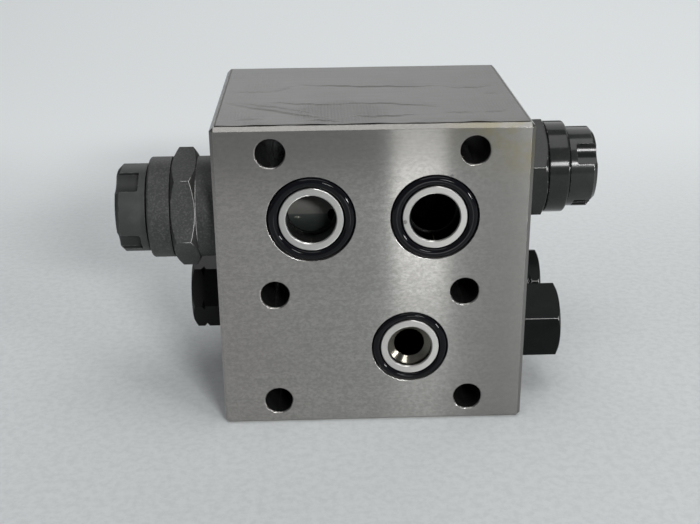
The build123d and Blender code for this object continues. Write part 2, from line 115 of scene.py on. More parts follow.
class Graph:
    """A material's node tree, written as formulas over points in millimetres."""

    def __init__(self, name: str) -> None:
        """Starts an empty material.

        Args:
            name: the material's name.
        """
        self.material = bpy.data.materials.new(name)
        self.material.use_nodes = True
        self.nodes = self.material.node_tree.nodes
        self.links = self.material.node_tree.links
        self.nodes.clear()
        self.shader = self.nodes.new("ShaderNodeBsdfPrincipled")
        output = self.nodes.new("ShaderNodeOutputMaterial")
        self.links.new(self.shader.outputs["BSDF"], output.inputs["Surface"])
        coordinates = self.nodes.new("ShaderNodeTexCoord")
        scaled = self.nodes.new("ShaderNodeVectorMath")
        scaled.operation = "SCALE"
        scaled.inputs["Scale"].default_value = 1 / MM
        self.links.new(coordinates.outputs["Object"], scaled.inputs[0])
        self.point = Signal(self, scaled.outputs[0])
        self.x, self.y, self.z = self.split(self.point)

    def plug(self, value: Number, socket: bpy.types.NodeSocket) -> None:
        """Feeds a signal into a socket, or sets a plain number on it."""
        if isinstance(value, Signal):
            self.links.new(value.socket, socket)
        else:
            socket.default_value = value

    def math(self, operation: str, *values: Number) -> Signal:
        """One arithmetic step.

        Args:
            operation: the Math node's operation.
            *values: its operands, signals or plain numbers.

        Returns:
            The result.
        """
        node = self.nodes.new("ShaderNodeMath")
        node.operation = operation
        for value, socket in zip(values, node.inputs):
            self.plug(value, socket)
        return Signal(self, node.outputs[0])

    def split(self, vector: Signal) -> tuple[Signal, Signal, Signal]:
        """The three parts of a direction or a point."""
        node = self.nodes.new("ShaderNodeSeparateXYZ")
        self.links.new(vector.socket, node.inputs[0])
        return tuple(Signal(self, output) for output in node.outputs)

    def vector(self, x: Number, y: Number, z: Number) -> Signal:
        """A point or direction from its three parts."""
        node = self.nodes.new("ShaderNodeCombineXYZ")
        for value, socket in zip((x, y, z), node.inputs):
            self.plug(value, socket)
        return Signal(self, node.outputs[0])

    def distance(self, a: Number, b: Number) -> Signal:
        """Length of the flat vector (a, b)."""
        return self.math("SQRT", self.math("MULTIPLY", a, a) + self.math("MULTIPLY", b, b))

    def smooth(self, value: Signal, low: float, high: float) -> Signal:
        """Smooth step: 0 at low and beyond, 1 at high and beyond, whichever of the two is larger."""
        node = self.nodes.new("ShaderNodeMapRange")
        node.interpolation_type = "SMOOTHSTEP"
        turned = high < low
        self.plug(value, node.inputs["Value"])
        node.inputs["From Min"].default_value = min(low, high)
        node.inputs["From Max"].default_value = max(low, high)
        node.inputs["To Min"].default_value = 1.0 if turned else 0.0
        node.inputs["To Max"].default_value = 0.0 if turned else 1.0
        return Signal(self, node.outputs["Result"])

    def noise(self, spot: Signal, pitch: float, detail: float, roughness: float) -> Signal:
        """Soft noise between 0 and 1.

        Args:
            spot: where the pattern is read, in millimetres.
            pitch: the size of its lumps, in millimetres.
            detail: how many finer octaves lie on it.
            roughness: how strong those are.

        Returns:
            The noise.
        """
        node = self.nodes.new("ShaderNodeTexNoise")
        self.links.new(spot.socket, node.inputs["Vector"])
        node.inputs["Scale"].default_value = 1 / pitch
        node.inputs["Detail"].default_value = detail
        node.inputs["Roughness"].default_value = roughness
        return Signal(self, node.outputs[0])

    def mix(self, amount: Number, start: Union[Colour, Signal], end: Union[Colour, Signal]) -> Signal:
        """Colour between two others.

        Args:
            amount: 0 for the start colour, 1 for the end colour.
            start: the first colour.
            end: the second colour.

        Returns:
            The mixed colour.
        """
        node = self.nodes.new("ShaderNodeMix")
        node.data_type = "RGBA"
        self.plug(amount, node.inputs[0])
        for colour, socket in ((start, node.inputs[6]), (end, node.inputs[7])):
            self.plug(colour if isinstance(colour, Signal) else (*colour, 1.0), socket)
        return Signal(self, node.outputs[2])

    def rounded(self, radius: float) -> Signal:
        """Normal of the surface as if its edges were rounded to a radius in millimetres."""
        node = self.nodes.new("ShaderNodeBevel")
        node.samples = 6
        node.inputs["Radius"].default_value = radius * MM
        return Signal(self, node.outputs[0])

    def edges(self, radius: float) -> Signal:
        """Near 1 within a radius of a sharp edge, in millimetres, and 0 on open faces.

        It is how far the rounded normal leans from the face's own: 1 minus their dot product, scaled.
        """
        face = self.nodes.new("ShaderNodeNewGeometry")
        lean = self.nodes.new("ShaderNodeVectorMath")
        lean.operation = "DOT_PRODUCT"
        self.links.new(self.rounded(radius).socket, lean.inputs[0])
        self.links.new(face.outputs["Normal"], lean.inputs[1])
        return self.smooth(Signal(self, lean.outputs["Value"]), 0.995, 0.86)

    def bump(self, height: Signal, depth: float, strength: float, under: Optional[Signal] = None) -> None:
        """Tilts the shader's normal by a height pattern.

        Args:
            height: the pattern, 0 to 1.
            depth: how deep it is, in millimetres.
            strength: how much of it shows.
            under: the normal that it starts from.
        """
        node = self.nodes.new("ShaderNodeBump")
        node.inputs["Strength"].default_value = strength
        node.inputs["Distance"].default_value = depth * MM
        self.links.new(height.socket, node.inputs["Height"])
        if under is not None:
            self.links.new(under.socket, node.inputs["Normal"])
        self.links.new(node.outputs[0], self.shader.inputs["Normal"])

    def finish(self, colour: Union[Colour, Signal], roughness: Number,
               **constants: float) -> bpy.types.Material:
        """Feeds the shader and hands the material over.

        Args:
            colour: the base colour.
            roughness: the roughness.
            **constants: other sockets of the shader by name, with _ for spaces, as plain numbers.

        Returns:
            The finished material.
        """
        self.plug(colour if isinstance(colour, Signal) else (*colour, 1.0), self.shader.inputs["Base Color"])
        self.plug(roughness, self.shader.inputs["Roughness"])
        for name, value in constants.items():
            self.shader.inputs[name.replace("_", " ")].default_value = value
        return self.material


@dataclass(frozen=True)
class Port:
    """A round port on the front face, for patterns that run round it.

    Attributes:
        x: place across the face.
        z: height up the face.
        land_r: radius of the land between the passage and the groove.
        groove_r: outer radius of the groove.
    """

    x: float
    z: float
    land_r: float
    groove_r: float


@dataclass(frozen=True)
class GroundSteel:
    """The block's own steel: ground faces with long straight marks, turned lands, painted shade in the
    holes.

    Attributes:
        ports: the ports whose lands are turned.
        holes: centres of the mounting holes, (x, z).
        nicks: centre and radius of small bruises on the face, (x, z, r).
        hole_r: radius of the mounting holes.
        front_y: where the front face lies.
        length: how far the back face lies behind it.
        grain: spacing of the grinding marks.
        tone: the plain steel's colour.
    """

    ports: Sequence[Port]
    holes: Sequence[tuple[float, float]]
    nicks: Sequence[tuple[float, float, float]] = ((29.3, 103.9, 0.55), (12.0, 85.8, 0.8))
    hole_r: float = 5.5
    front_y: float = -50.0
    length: float = 100.0
    grain: float = 0.3
    tone: Colour = (0.46, 0.453, 0.433)

    def material(self) -> bpy.types.Material:
        """Builds the steel.

        Grinding marks are noise drawn out about 90 to 1 along X and 12 to 1 along Y. The tone is warmer to
        the left, with painted shade near the top and to the right, and rust at the top right corner. A
        port's land is paler and duller, and its specks stand out; the right port's land is painted darker,
        as shade.
        Inside a hole, between the front face and the back face, the tone is painted shade: near black, but
        paler in the mouth of a port, as painted light.

        Returns:
            The material.
        """
        g = Graph("ground_steel")
        marks_at = g.vector(g.x * 0.011, g.y * 0.08, g.z)
        marks = g.noise(marks_at, self.grain, 3, 0.62)
        broad = g.noise(g.vector(g.x * 0.03, g.y, g.z), 1.9, 3, 0.6)
        specks = g.noise(g.point, 0.22, 2, 0.7)
        cloud = g.noise(g.point, 38, 3, 0.55)
        patch = g.noise(g.point, 9, 3, 0.6)
        mottle = g.noise(g.point, 0.8, 3, 0.7)

        depth = g.y - self.front_y
        lands = [(port.x, port.z, port.land_r) for port in self.ports]
        land = self._near(g, lands, 0.35) * g.smooth(depth, 2.0, 1.0)
        hollows = [(port.x, port.z, port.groove_r) for port in self.ports]
        hollows += [(x, z, self.hole_r + 0.5) for x, z in self.holes]
        behind_front = g.smooth(depth, 0.45, 0.8)
        before_back = g.smooth(depth, self.length - 0.5, self.length - 0.8)
        inside = behind_front * before_back * self._near(g, hollows, 0.5)

        blush = g.smooth(g.x, 5, -62) * cloud * 0.6 + g.smooth(mottle, 0.45, 0.7) * 0.25
        warm = g.mix(blush, self.tone, (0.40, 0.335, 0.325))
        corner = g.smooth(g.distance(g.x - 60, (g.z - 122) * 1.7), 42, 6) * g.smooth(depth, 12, 1)
        rust = corner * g.smooth(patch, 0.3, 0.65)
        toned = g.mix(g.smooth(broad, 0.3, 0.75) * 0.3, warm, (0.31, 0.305, 0.29))
        flecks = g.noise(g.vector(g.x * 0.6, g.y, g.z), 0.95, 3, 0.8)
        speckled = g.mix(g.smooth(flecks, 0.38, 0.62) * 0.6, toned, (0.28, 0.275, 0.26))
        # painted shade: the face is darker near the top and to the right
        painted_shade = g.math("MAXIMUM", g.smooth(g.z, 90, 118) * 0.75, g.smooth(g.x, 20, 55) * 0.8)
        high = g.mix(painted_shade, speckled, (0.215, 0.21, 0.20))
        aged = g.mix(rust * 0.75, high, (0.25, 0.222, 0.12))
        # the turned lands are paler; the right port's land is painted darker, as shade
        land_tone_and_shade = g.mix(g.smooth(g.x, -5, 12), (0.80, 0.80, 0.77), (0.54, 0.54, 0.52))
        turned = g.mix(land * 0.9, aged, land_tone_and_shade)
        rimmed = g.mix(g.edges(0.45) * 0.55, turned, (0.62, 0.61, 0.59))
        # painted shade inside the holes: near black, and paler near a port's mouth as painted light
        passage = self._near(g, lands, 0.5)
        wall = g.mix(g.smooth(depth, 9, 3) * passage, (0.012, 0.013, 0.012), (0.14, 0.133, 0.113))
        bruise = self._near(g, self.nicks, 0.6) * g.smooth(specks, 0.35, 0.55) * g.smooth(depth, 0.5, 0.1)
        scarred = g.mix(bruise * 0.85, rimmed, (0.05, 0.05, 0.05))
        colour = g.mix(inside, scarred, wall)

        roughness = 0.19 + marks * 0.05 + cloud * 0.02 + land * 0.26
        g.bump(marks * 0.8 + specks * (0.12 + land * 0.8), 0.005, 0.5, under=g.rounded(0.25))
        g.plug(g.vector(0.0, 0.05, 1.0), g.shader.inputs["Tangent"])
        g.plug(1.0 - inside * (1.0 - passage) * 0.9, g.shader.inputs["Metallic"])
        return g.finish(colour, roughness, Anisotropic=1.0, Specular_IOR_Level=0.2)

    def _near(self, g: Graph, circles: Sequence[tuple[float, float, float]], soft: float) -> Signal:
        """1 inside any of the circles drawn on the front face, softly 0 outside them.

        Args:
            g: the material's graph.
            circles: centre x, centre z and radius of each.
            soft: width of their edge.

        Returns:
            The mask.
        """
        mask = None
        for x, z, radius in circles:
            disc = g.smooth(g.distance(g.x - x, g.z - z), radius + soft / 2, radius - soft / 2)
            mask = disc if mask is None else g.math("MAXIMUM", mask, disc)
        return mask


@dataclass(frozen=True)
class BlackOxide:
    """Blackened steel, with bright metal where edges have rubbed and at painted highlights, and with painted
    light and shade inside the block.

    Attributes:
        name: the material's name.
        tone: colour of the blackened skin.
        roughness: its roughness.
        wear: how much of the edges is rubbed bright, 0 to 1.
        dust: how much of a matt film lies on it, 0 to 1.
        specular: how strongly it reflects.
        rounding: radius that its edges seem to have, in millimetres.
        grain: how strongly fine pale grain shows, 0 to 1.
        pale_spot: middle of the place where edges are paled, x, y and z: a painted highlight on a corner of
            a right piece, and paler front edges on the left body.
        reach: how far that place reaches along X, and across it.
        shade_x: how far out from the block's middle the inside is painted dark, as shade.
        lit_above_z: the height above which that inside is painted paler, as light.
    """

    name: str
    tone: Colour
    roughness: float
    wear: float
    dust: float = 0.2
    specular: float = 0.4
    rounding: float = 0.3
    grain: float = 0.1
    pale_spot: tuple[float, float, float] = (0.0, 0.0, 0.0)
    reach: tuple[float, float] = (1.0, 1.0)
    shade_x: float = 54.0
    lit_above_z: float = 84.5

    def material(self) -> bpy.types.Material:
        """Builds the finish.

        Noise breaks the mask of rubbed edges up, and near the pale spot a finer noise leaves more of it:
        painted highlights on corners of the right pieces. Clouds lay a matt film on the open faces, and fine
        pale grain lies on them. What is inside the block is painted paler above a set height, as light, and
        darker below it, as shade.

        Returns:
            The material.
        """
        g = Graph(self.name)
        lathe = g.noise(g.vector(g.x, g.y * 0.03, g.z * 0.03), 0.22, 2, 0.6)
        grit = g.noise(g.point, 0.35, 3, 0.65)
        grain = g.noise(g.point, 0.8, 3, 0.75)
        cloud = g.noise(g.point, 7, 4, 0.6)
        dusty = g.mix(g.smooth(cloud, 0.35, 0.7) * self.dust, self.tone, (0.085, 0.087, 0.08))
        skin = g.mix(g.smooth(grain, 0.45, 0.72) * self.grain, dusty, (0.13, 0.13, 0.125))
        broken = g.smooth(g.noise(g.point, 2.1, 4, 0.7), 0.66 - 0.2 * self.wear, 0.78 - 0.15 * self.wear)
        # edges near this point are paled: painted highlights on the corners of the right pieces
        x, y, z = self.pale_spot
        along, over = self.reach
        away = g.distance((g.x - x) / along, g.distance(g.y - y, g.z - z) / over)
        pale_at_spot = g.smooth(away, 1.05, 0.85) * g.smooth(g.noise(g.point, 0.9, 3, 0.7), 0.3, 0.42)
        wear_and_glint = g.edges(0.4) * g.math("MAXIMUM", broken * self.wear, pale_at_spot)
        rubbed = g.mix(wear_and_glint, skin, (0.85, 0.85, 0.83))
        # inside the block: painted light above the set height, painted shade below it
        above = g.smooth(g.z, self.lit_above_z - 0.3, self.lit_above_z + 0.3)
        inside_light_and_shade = g.mix(above, (0.022, 0.028, 0.026), (0.075, 0.073, 0.066))
        colour = g.mix(g.smooth(g.math("ABSOLUTE", g.x), self.shade_x + 1, self.shade_x - 1), rubbed, inside_light_and_shade)
        roughness = ((grit - 0.5) * 0.25 + cloud * 0.1 + 1.0) * self.roughness
        g.bump(grit * 0.6 + lathe * 0.5, 0.012, self.roughness, under=g.rounded(self.rounding))
        return g.finish(colour, roughness, Specular_IOR_Level=self.specular)


@dataclass(frozen=True)
class Steel:
    """Plain bright steel of inner pieces and springs.

    Attributes:
        name: the material's name.
        tone: its colour.
        roughness: its roughness.
    """

    name: str
    tone: Colour
    roughness: float

    def material(self) -> bpy.types.Material:
        """Builds the finish: fine noise in the roughness and a light grain.

        Returns:
            The material.
        """
        g = Graph(self.name)
        grit = g.noise(g.point, 0.3, 3, 0.6)
        cloud = g.noise(g.point, 5, 2, 0.5)
        colour = g.mix(cloud * 0.4, self.tone, tuple(part * 0.6 for part in self.tone))
        g.bump(grit, 0.006, 0.4, under=g.rounded(0.2))
        return g.finish(colour, self.roughness + grit * 0.12, Metallic=1.0)


@dataclass(frozen=True)
class OilyRubber:
    """Black rubber with a skin of oil.

    Attributes:
        name: the material's name.
        roughness: its roughness.
    """

    name: str = "oily_rubber"
    roughness: float = 0.03

    def material(self) -> bpy.types.Material:
        """Builds the finish: slow waves in the oil, and fine grit in the tone and the roughness.

        Returns:
            The material.
        """
        g = Graph(self.name)
        waves = g.noise(g.point, 1.6, 2, 0.5)
        grit = g.noise(g.point, 0.25, 2, 0.5)
        colour = g.mix(grit, (0.0015, 0.0018, 0.003), (0.004, 0.004, 0.0055))
        g.bump(waves, 0.08, 0.3)
        return g.finish(colour, self.roughness + grit * 0.03, Specular_IOR_Level=0.2)


@dataclass(frozen=True)
class MouldedPlastic:
    """Dark moulded plastic with a fine matt texture, paler rubbed edges and painted shade in its notches.

    Attributes:
        name: the material's name.
        tone: its colour.
        roughness: its roughness.
        rubbed: how pale the edges are, 0 to 1.
        axis: y and z of the line that it was turned about.
        skin_r: radius of its outside; what lies nearer the axis, short of the end, is painted darker, as
            shade.
        end_x: how far from the block's middle its end lies.
    """

    name: str
    tone: Colour
    roughness: float
    rubbed: float
    axis: tuple[float, float] = (0.0, 0.0)
    skin_r: float = 17.45
    end_x: float = 99.0

    def material(self) -> bpy.types.Material:
        """Builds the finish: fine grain, slow tone change, edges lightened by the edge mask, painted shade
        in notches.

        Returns:
            The material.
        """
        g = Graph(self.name)
        grain = g.noise(g.point, 0.3, 2, 0.6)
        cloud = g.noise(g.point, 6, 3, 0.55)
        pale = tuple(part * 1.9 for part in self.tone)
        body = g.mix(g.smooth(cloud, 0.35, 0.75) * 0.45, self.tone, pale)
        scuff = g.edges(0.5) * g.smooth(g.noise(g.point, 1.7, 3, 0.6), 0.4, 0.62)
        # painted shade: nearer the axis than the outside, short of the end, as in the notches, is darker
        y, z = self.axis
        sunk = g.smooth(g.distance(g.y - y, g.z - z), self.skin_r - 0.3, self.skin_r - 1.0)
        shaded = sunk * g.smooth(g.math("ABSOLUTE", g.x), self.end_x - 0.2, self.end_x - 0.6)
        notch_shaded = g.mix(shaded * 0.65, body, tuple(part * 0.25 for part in self.tone))
        colour = g.mix(scuff * self.rubbed, notch_shaded, (0.34, 0.34, 0.33))
        g.bump(grain, 0.02, 0.45, under=g.rounded(0.45))
        return g.finish(colour, ((cloud - 0.5) * 0.3 + 1.0) * self.roughness, Specular_IOR_Level=0.4)


@dataclass(frozen=True)
class FilmSkin:
    """Grey protective film with a faint woven look where it clings.

    Attributes:
        tone: its colour.
        cling: middle of the place where it clings best, (x, y).
        reach: half that place's width and length.
        rib: how fast the ribs follow one another, in radians per millimetre.
    """

    tone: Colour = (0.168, 0.168, 0.161)
    cling: tuple[float, float] = (-12.0, -31.0)
    reach: tuple[float, float] = (18.0, 17.0)
    rib: float = 5.0

    def material(self) -> bpy.types.Material:
        """Builds the finish: two crossed sets of fine ribs, strongest in patches, over a grey skin.

        Returns:
            The material.
        """
        g = Graph("protective_film")
        ribs = g.math("SINE", g.x * self.rib) + g.math("SINE", g.y * self.rib)
        (x, y), (wide, long) = self.cling, self.reach
        clinging = g.smooth(g.distance((g.x - x) / wide, (g.y - y) / long), 1.2, 0.7)
        patch = clinging + g.smooth(g.noise(g.point, 16, 2, 0.5), 0.42, 0.62) * 0.35
        cloud = g.noise(g.point, 24, 3, 0.6)
        brush = g.noise(g.vector(g.x * 0.05, g.y, g.z), 0.9, 3, 0.6)
        woven = ribs * patch * 0.15
        dim = tuple(part * 0.8 for part in self.tone)
        colour = g.mix(cloud * 0.5 + brush * 0.3 + woven, self.tone, dim)
        g.bump(ribs * patch * 0.7 + brush * 0.4, 0.06, 0.8)
        return g.finish(colour, 0.30 + brush * 0.10, Metallic=0.3, Specular_IOR_Level=0.25)


@dataclass(frozen=True)
class Oil:
    """Clear amber oil."""

    def material(self) -> bpy.types.Material:
        """Builds the oil: a near-smooth clear skin with a slow swirl.

        Returns:
            The material.
        """
        g = Graph("oil")
        swirl = g.noise(g.point, 1.2, 2, 0.5)
        colour = g.mix(swirl, (0.10, 0.11, 0.09), (0.16, 0.16, 0.13))
        return g.finish(colour, 0.05 + swirl * 0.04, Coat_Weight=1.0)


def grid_mesh(name: str, points: np.ndarray, wrap: bool = False, smooth: bool = True) -> bpy.types.Object:
    """Makes a mesh object from a grid of points, in millimetres.

    The faces join each point to the next along both directions of the grid: a quad at row i and column j
    has the corners (i, j), (i, j + 1), (i + 1, j + 1) and (i + 1, j).

    Args:
        name: the object's name.
        points: array of rows by columns by 3.
        wrap: whether the last column joins the first.
        smooth: whether it is shaded smooth.

    Returns:
        The object, linked to the scene, at the origin.
    """
    rows, columns, _ = points.shape
    steps = columns if wrap else columns - 1
    row, column = np.meshgrid(np.arange(rows - 1), np.arange(steps), indexing="ij")
    after = (column + 1) % columns
    quads = np.stack([row * columns + column, row * columns + after,
                      (row + 1) * columns + after, (row + 1) * columns + column], axis=-1)
    mesh = bpy.data.meshes.new(name)
    mesh.from_pydata((points.reshape(-1, 3) * MM).tolist(), [], quads.reshape(-1, 4).tolist())
    mesh.polygons.foreach_set("use_smooth", np.full(len(mesh.polygons), smooth))
    mesh.update()
    piece = bpy.data.objects.new(name, mesh)
    bpy.context.scene.collection.objects.link(piece)
    return piece


def dress(node: str, material: bpy.types.Material) -> None:
    """Gives a solid's node its finish, in every material slot it has."""
    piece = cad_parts[node]
    for slot in piece.material_slots:
        slot.material = material
    log.info("dressed %s in %s", node, material.name)


@dataclass(frozen=True)
class Crease:
    """A long soft wrinkle in the film.

    Attributes:
        start: its left end on the top face, (x, y).
        end: its right end.
        bow: how far its middle swings back from the straight line between them.
        height: how high it stands.
        width: its half width.
    """

    start: tuple[float, float]
    end: tuple[float, float]
    bow: float
    height: float
    width: float

    def lift(self, x: np.ndarray, y: np.ndarray) -> np.ndarray:
        """Height that the crease adds at each point.

        Along the line from start to end the share t runs from 0 to 1. The crease's own line leaves that
        by bow times 4 t (1 - t) plus a small wave. Its height is a bell across the line, with the side
        nearer the front twice as steep, times a sine hump along it.

        Args:
            x: x of the points.
            y: y of the points.

        Returns:
            The heights, in millimetres.
        """
        (x0, y0), (x1, y1) = self.start, self.end
        t = (x - x0) / (x1 - x0)
        wave = 0.45 * np.sin(19 * t + x0) + 0.25 * np.sin(47 * t + y0)
        line = y0 + (y1 - y0) * t + self.bow * 4 * t * (1 - t) + wave
        away = (y - line) / self.width
        across = np.exp(-np.where(away < 0, 2.2 * away, away) ** 2)
        along = np.sin(np.pi * np.clip(t, 0, 1)) ** 0.6
        return self.height * across * along * ((t > 0) & (t < 1))


@dataclass
class Film:
    """The protective film on the block's top: a wrinkled sheet with a wavy front edge.

    Attributes:
        node: the solid that it stands for.
        columns: points across X.
        rows: points across Y.
        thickness: how thick it is.
        gap: how far it lies over the block's top where nothing lifts it.
        creases: its long wrinkles.
    """

    node: str = "protective_film"
    columns: int = 150
    rows: int = 300
    thickness: float = 0.05
    gap: float = 0.08
    creases: Sequence[Crease] = field(default_factory=lambda: (
        Crease((-29, 16), (32, 10), -2.8, 0.40, 0.9),
        Crease((31, 9), (55, 11), -4.5, 0.30, 0.9),
        Crease((-55, 4), (-38, 3), 0.0, 0.22, 0.9),
        Crease((-40, 3), (-28, 16), -2.0, 0.24, 1.0),
        Crease((-57, -14), (-12, -42), -1.0, 0.42, 1.5),
        Crease((-52, -15), (-20, -33), 2.0, 0.30, 1.2),
        Crease((-40, -13), (-9, -18), -2.2, 0.32, 0.9),
        Crease((-14, -18), (29, -26), 3.2, 0.36, 0.9),
        Crease((-8, -36), (18, -35), -2.0, 0.38, 0.9),
        Crease((27, -33), (41, -34), -0.6, 0.26, 0.8),
        Crease((42, -34), (53, -32), -0.5, 0.28, 0.8),
        Crease((46, -4), (54, -6), 0.3, 0.24, 0.8),
        Crease((-51, -40), (-40, -39), 0.3, 0.26, 0.9),
        Crease((-24, -41), (-12, -44), 0.4, 0.40, 0.9),
    ))

    def build(self) -> None:
        """Makes the sheet.

        The height of its underside over the block's top is its gap, plus the creases, slow waves of 0.05 mm
        and a lift of the front edge, but it stays under the top of the solid that it stands for. The front
        edge lies 0.55 mm in, give or take two sines of 0.35 and 0.2 mm. With v from 0 at the front to 1 at
        the back, that inset fades as (1 - v)^6.
        """
        low, high = (np.array(corner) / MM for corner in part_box(self.node))
        u, v = np.meshgrid(np.linspace(0, 1, self.columns), np.linspace(0, 1, self.rows))
        x = low[0] + (high[0] - low[0]) * u
        inset = 0.55 + 0.35 * np.sin(0.19 * x + 1.0) + 0.2 * np.sin(0.53 * x)
        y = low[1] + inset * (1 - v) ** 6 + (high[1] - low[1]) * v
        slow = 0.05 * (np.sin(0.11 * x + 0.07 * y) * np.sin(0.09 * y - 0.05 * x) + 1)
        rise = sum(crease.lift(x, y) for crease in self.creases)
        flap = 0.22 * (0.6 + 0.4 * np.sin(0.31 * x + 2.0)) * np.exp(-((v * 60) ** 2) / 3)
        z = low[2] + self.gap + slow + rise + flap
        z = np.minimum(z, high[2] - 0.01)
        self.piece = grid_mesh("film_sheet", np.stack([x, y, z], axis=-1))
        wall = self.piece.modifiers.new("thickness", "SOLIDIFY")
        wall.thickness = self.thickness * MM
        wall.offset = 1.0

    def dress(self) -> None:
        """Gives the film its skin, and lets it stand for its solid."""
        self.piece.data.materials.append(FilmSkin().material())
        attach(self.piece, "manifold")
        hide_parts(self.node)
        log.info("laid the film")


@dataclass
class OilBead:
    """A drop of oil on the valve's sleeve, seen through the left port.

    Attributes:
        middle: its centre.
        reach: its half sizes along X, Y and Z.
    """

    middle: tuple[float, float, float] = (-29.0, -35.0, 83.2)
    reach: tuple[float, float, float] = (1.3, 0.4, 0.55)

    def build(self) -> None:
        """Makes the drop: an ellipsoid, its points at middle + reach times the unit sphere's."""
        around = np.linspace(0, 2 * np.pi, 28, endpoint=False)
        turn, rise = np.meshgrid(around, np.linspace(-1, 1, 15) * np.pi / 2)
        ball = np.stack([np.cos(rise) * np.cos(turn), np.cos(rise) * np.sin(turn), np.sin(rise)], axis=-1)
        self.piece = grid_mesh("oil_bead", np.array(self.middle) + np.array(self.reach) * ball, wrap=True)

    def dress(self) -> None:
        """Gives the drop its oil."""
        self.piece.data.materials.append(Oil().material())
        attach(self.piece, "manifold")
        log.info("set the oil bead")


@dataclass
class Block:
    """The block with its port seals, riser plugs, film and drop of oil.

    Attributes:
        port_x: the service ports' distance from the middle.
        port_z: their height.
        land_r: radius of their lands.
        groove_r: outer radius of their grooves.
        supply: the supply port.
        hole_x: half the mounting holes' spacing.
        hole_rows: their heights, bottom and top.
        middle_holes: centres of the middle pair.
    """

    port_x: float = 23.4
    port_z: float = 87.4
    land_r: float = 12.4
    groove_r: float = 16.8
    supply: Port = Port(x=14.5, z=33.1, land_r=11.6, groove_r=15.0)
    hole_x: float = 38.0
    hole_rows: tuple[float, float] = (10.2, 113.5)
    middle_holes: Sequence[tuple[float, float]] = ((-38.0, 56.7), (35.6, 56.7))

    def build(self) -> None:
        """Lays the film over the top and sets the drop of oil."""
        self.film = Film()
        self.film.build()
        self.bead = OilBead()
        self.bead.build()

    def dress(self) -> None:
        """Gives every node of the block its finish."""
        ports = [Port(x, self.port_z, self.land_r, self.groove_r) for x in (-self.port_x, self.port_x)]
        holes = [(x, z) for x in (-self.hole_x, self.hole_x) for z in self.hole_rows]
        steel = GroundSteel([*ports, self.supply], [*holes, *self.middle_holes])
        dress("manifold_block", steel.material())
        rubber = OilyRubber().material()
        for node in ("port_a_o_ring", "port_b_o_ring", "supply_port_o_ring"):
            dress(node, rubber)
        plug = BlackOxide("riser_plug_oxide", (0.02, 0.02, 0.02), roughness=0.4, wear=0.4).material()
        for side in Side:
            dress(f"{side.word}_riser_plug", plug)
        self.film.dress()
        self.bead.dress()


@dataclass
class Spring:
    """A compression spring of square wire.

    Attributes:
        side: the side of the block that it is in.
        valve: the valve that it loads, relief or check.
        wire: side of its wire.
        turns: how many turns it has.
        travel: how much shorter it is at the poppet's limit.
        steps: points along one turn.
    """

    side: Side
    valve: str
    wire: float
    turns: float
    travel: float = 3.0
    steps: int = 40

    @property
    def node(self) -> str:
        """Name of the solid that it stands for."""
        return f"{self.side.word}_{self.valve}_spring"

    def build(self) -> None:
        """Winds the spring.

        With t from 0 to 1 along the wire, its middle stands at x = start + rise t and at the mean radius
        times (cos a, sin a) from the axis, where a = 2 pi turns t. The corners of its section lie half a
        wire to each side along the radius and along X. A last point at each end closes the section.
        """
        self.low, self.high = (np.array(corner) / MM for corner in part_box(self.node))
        self.middle = (self.low + self.high) / 2
        half = self.wire / 2
        radius = (self.high[1] - self.low[1]) / 2 - half
        t = np.linspace(0, 1, int(self.turns * self.steps) + 1)
        share = np.concatenate([[0.0], t, [1.0]])[:, None]
        wide = np.concatenate([[0.0], np.full(t.shape, half), [0.0]])[:, None]
        turn = 2 * np.pi * self.turns * share
        out = radius + wide * np.array([-1, 1, 1, -1])
        rise = self.high[0] - self.low[0] - self.wire
        x = self.low[0] + half + rise * share + wide * np.array([1, 1, -1, -1])
        y = self.middle[1] + out * np.cos(turn)
        z = self.middle[2] + out * np.sin(turn)
        self.piece = grid_mesh(f"{self.node}_wire", np.stack([x, y, z], axis=-1), wrap=True, smooth=False)

    def dress(self, material: bpy.types.Material) -> None:
        """Gives the spring its steel and its own mesh, and lets it stand for its solid.

        Args:
            material: the spring's finish.
        """
        self.piece.data.materials.append(material)
        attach(self.piece, "manifold")
        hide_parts(self.node)
        held = self.low if self.side is Side.LEFT else self.high
        anchor = (float(held[0]) * MM, float(self.middle[1]) * MM, float(self.middle[2]) * MM)
        length = float(self.high[0] - self.low[0])
        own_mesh(self.piece, f"{self.side.word}_{self.valve}_lift", axis=(1, 0, 0), anchor=anchor,
                  keep=1 - self.travel / length)
        log.info("wound %s", self.node)


@dataclass
class ReliefCartridge:
    """One cross-over relief valve with its spring and cap.

    Attributes:
        side: the side it is screwed into.
        body: finish of the body, lock nut and screw.
        cap: finish of the cap.
    """

    side: Side
    body: BlackOxide
    cap: MouldedPlastic

    def node(self, piece: str) -> str:
        """Name of one of its nodes."""
        return f"{self.side.word}_relief_{piece}"

    def build(self) -> None:
        """Winds its spring."""
        self.spring = Spring(self.side, "relief", wire=2.6, turns=5.0)
        self.spring.build()

    def dress(self, inner: bpy.types.Material, spring: bpy.types.Material, seal: bpy.types.Material,
              backup: bpy.types.Material) -> None:
        """Gives each of its nodes a finish.

        Args:
            inner: finish of the seat, poppet and spring carrier.
            spring: finish of the spring.
            seal: finish of the seals.
            backup: finish of the backup ring.
        """
        oxide = self.body.material()
        for piece in ("body", "lock_nut", "adjusting_screw"):
            dress(self.node(piece), oxide)
        for piece in ("seat", "poppet", "spring_carrier"):
            dress(self.node(piece), inner)
        for piece in ("body_seal", "nose_seal", "carrier_seal"):
            dress(self.node(piece), seal)
        self.spring.dress(spring)
        dress(self.node("backup_ring"), backup)
        dress(self.node("cap"), self.cap.material())


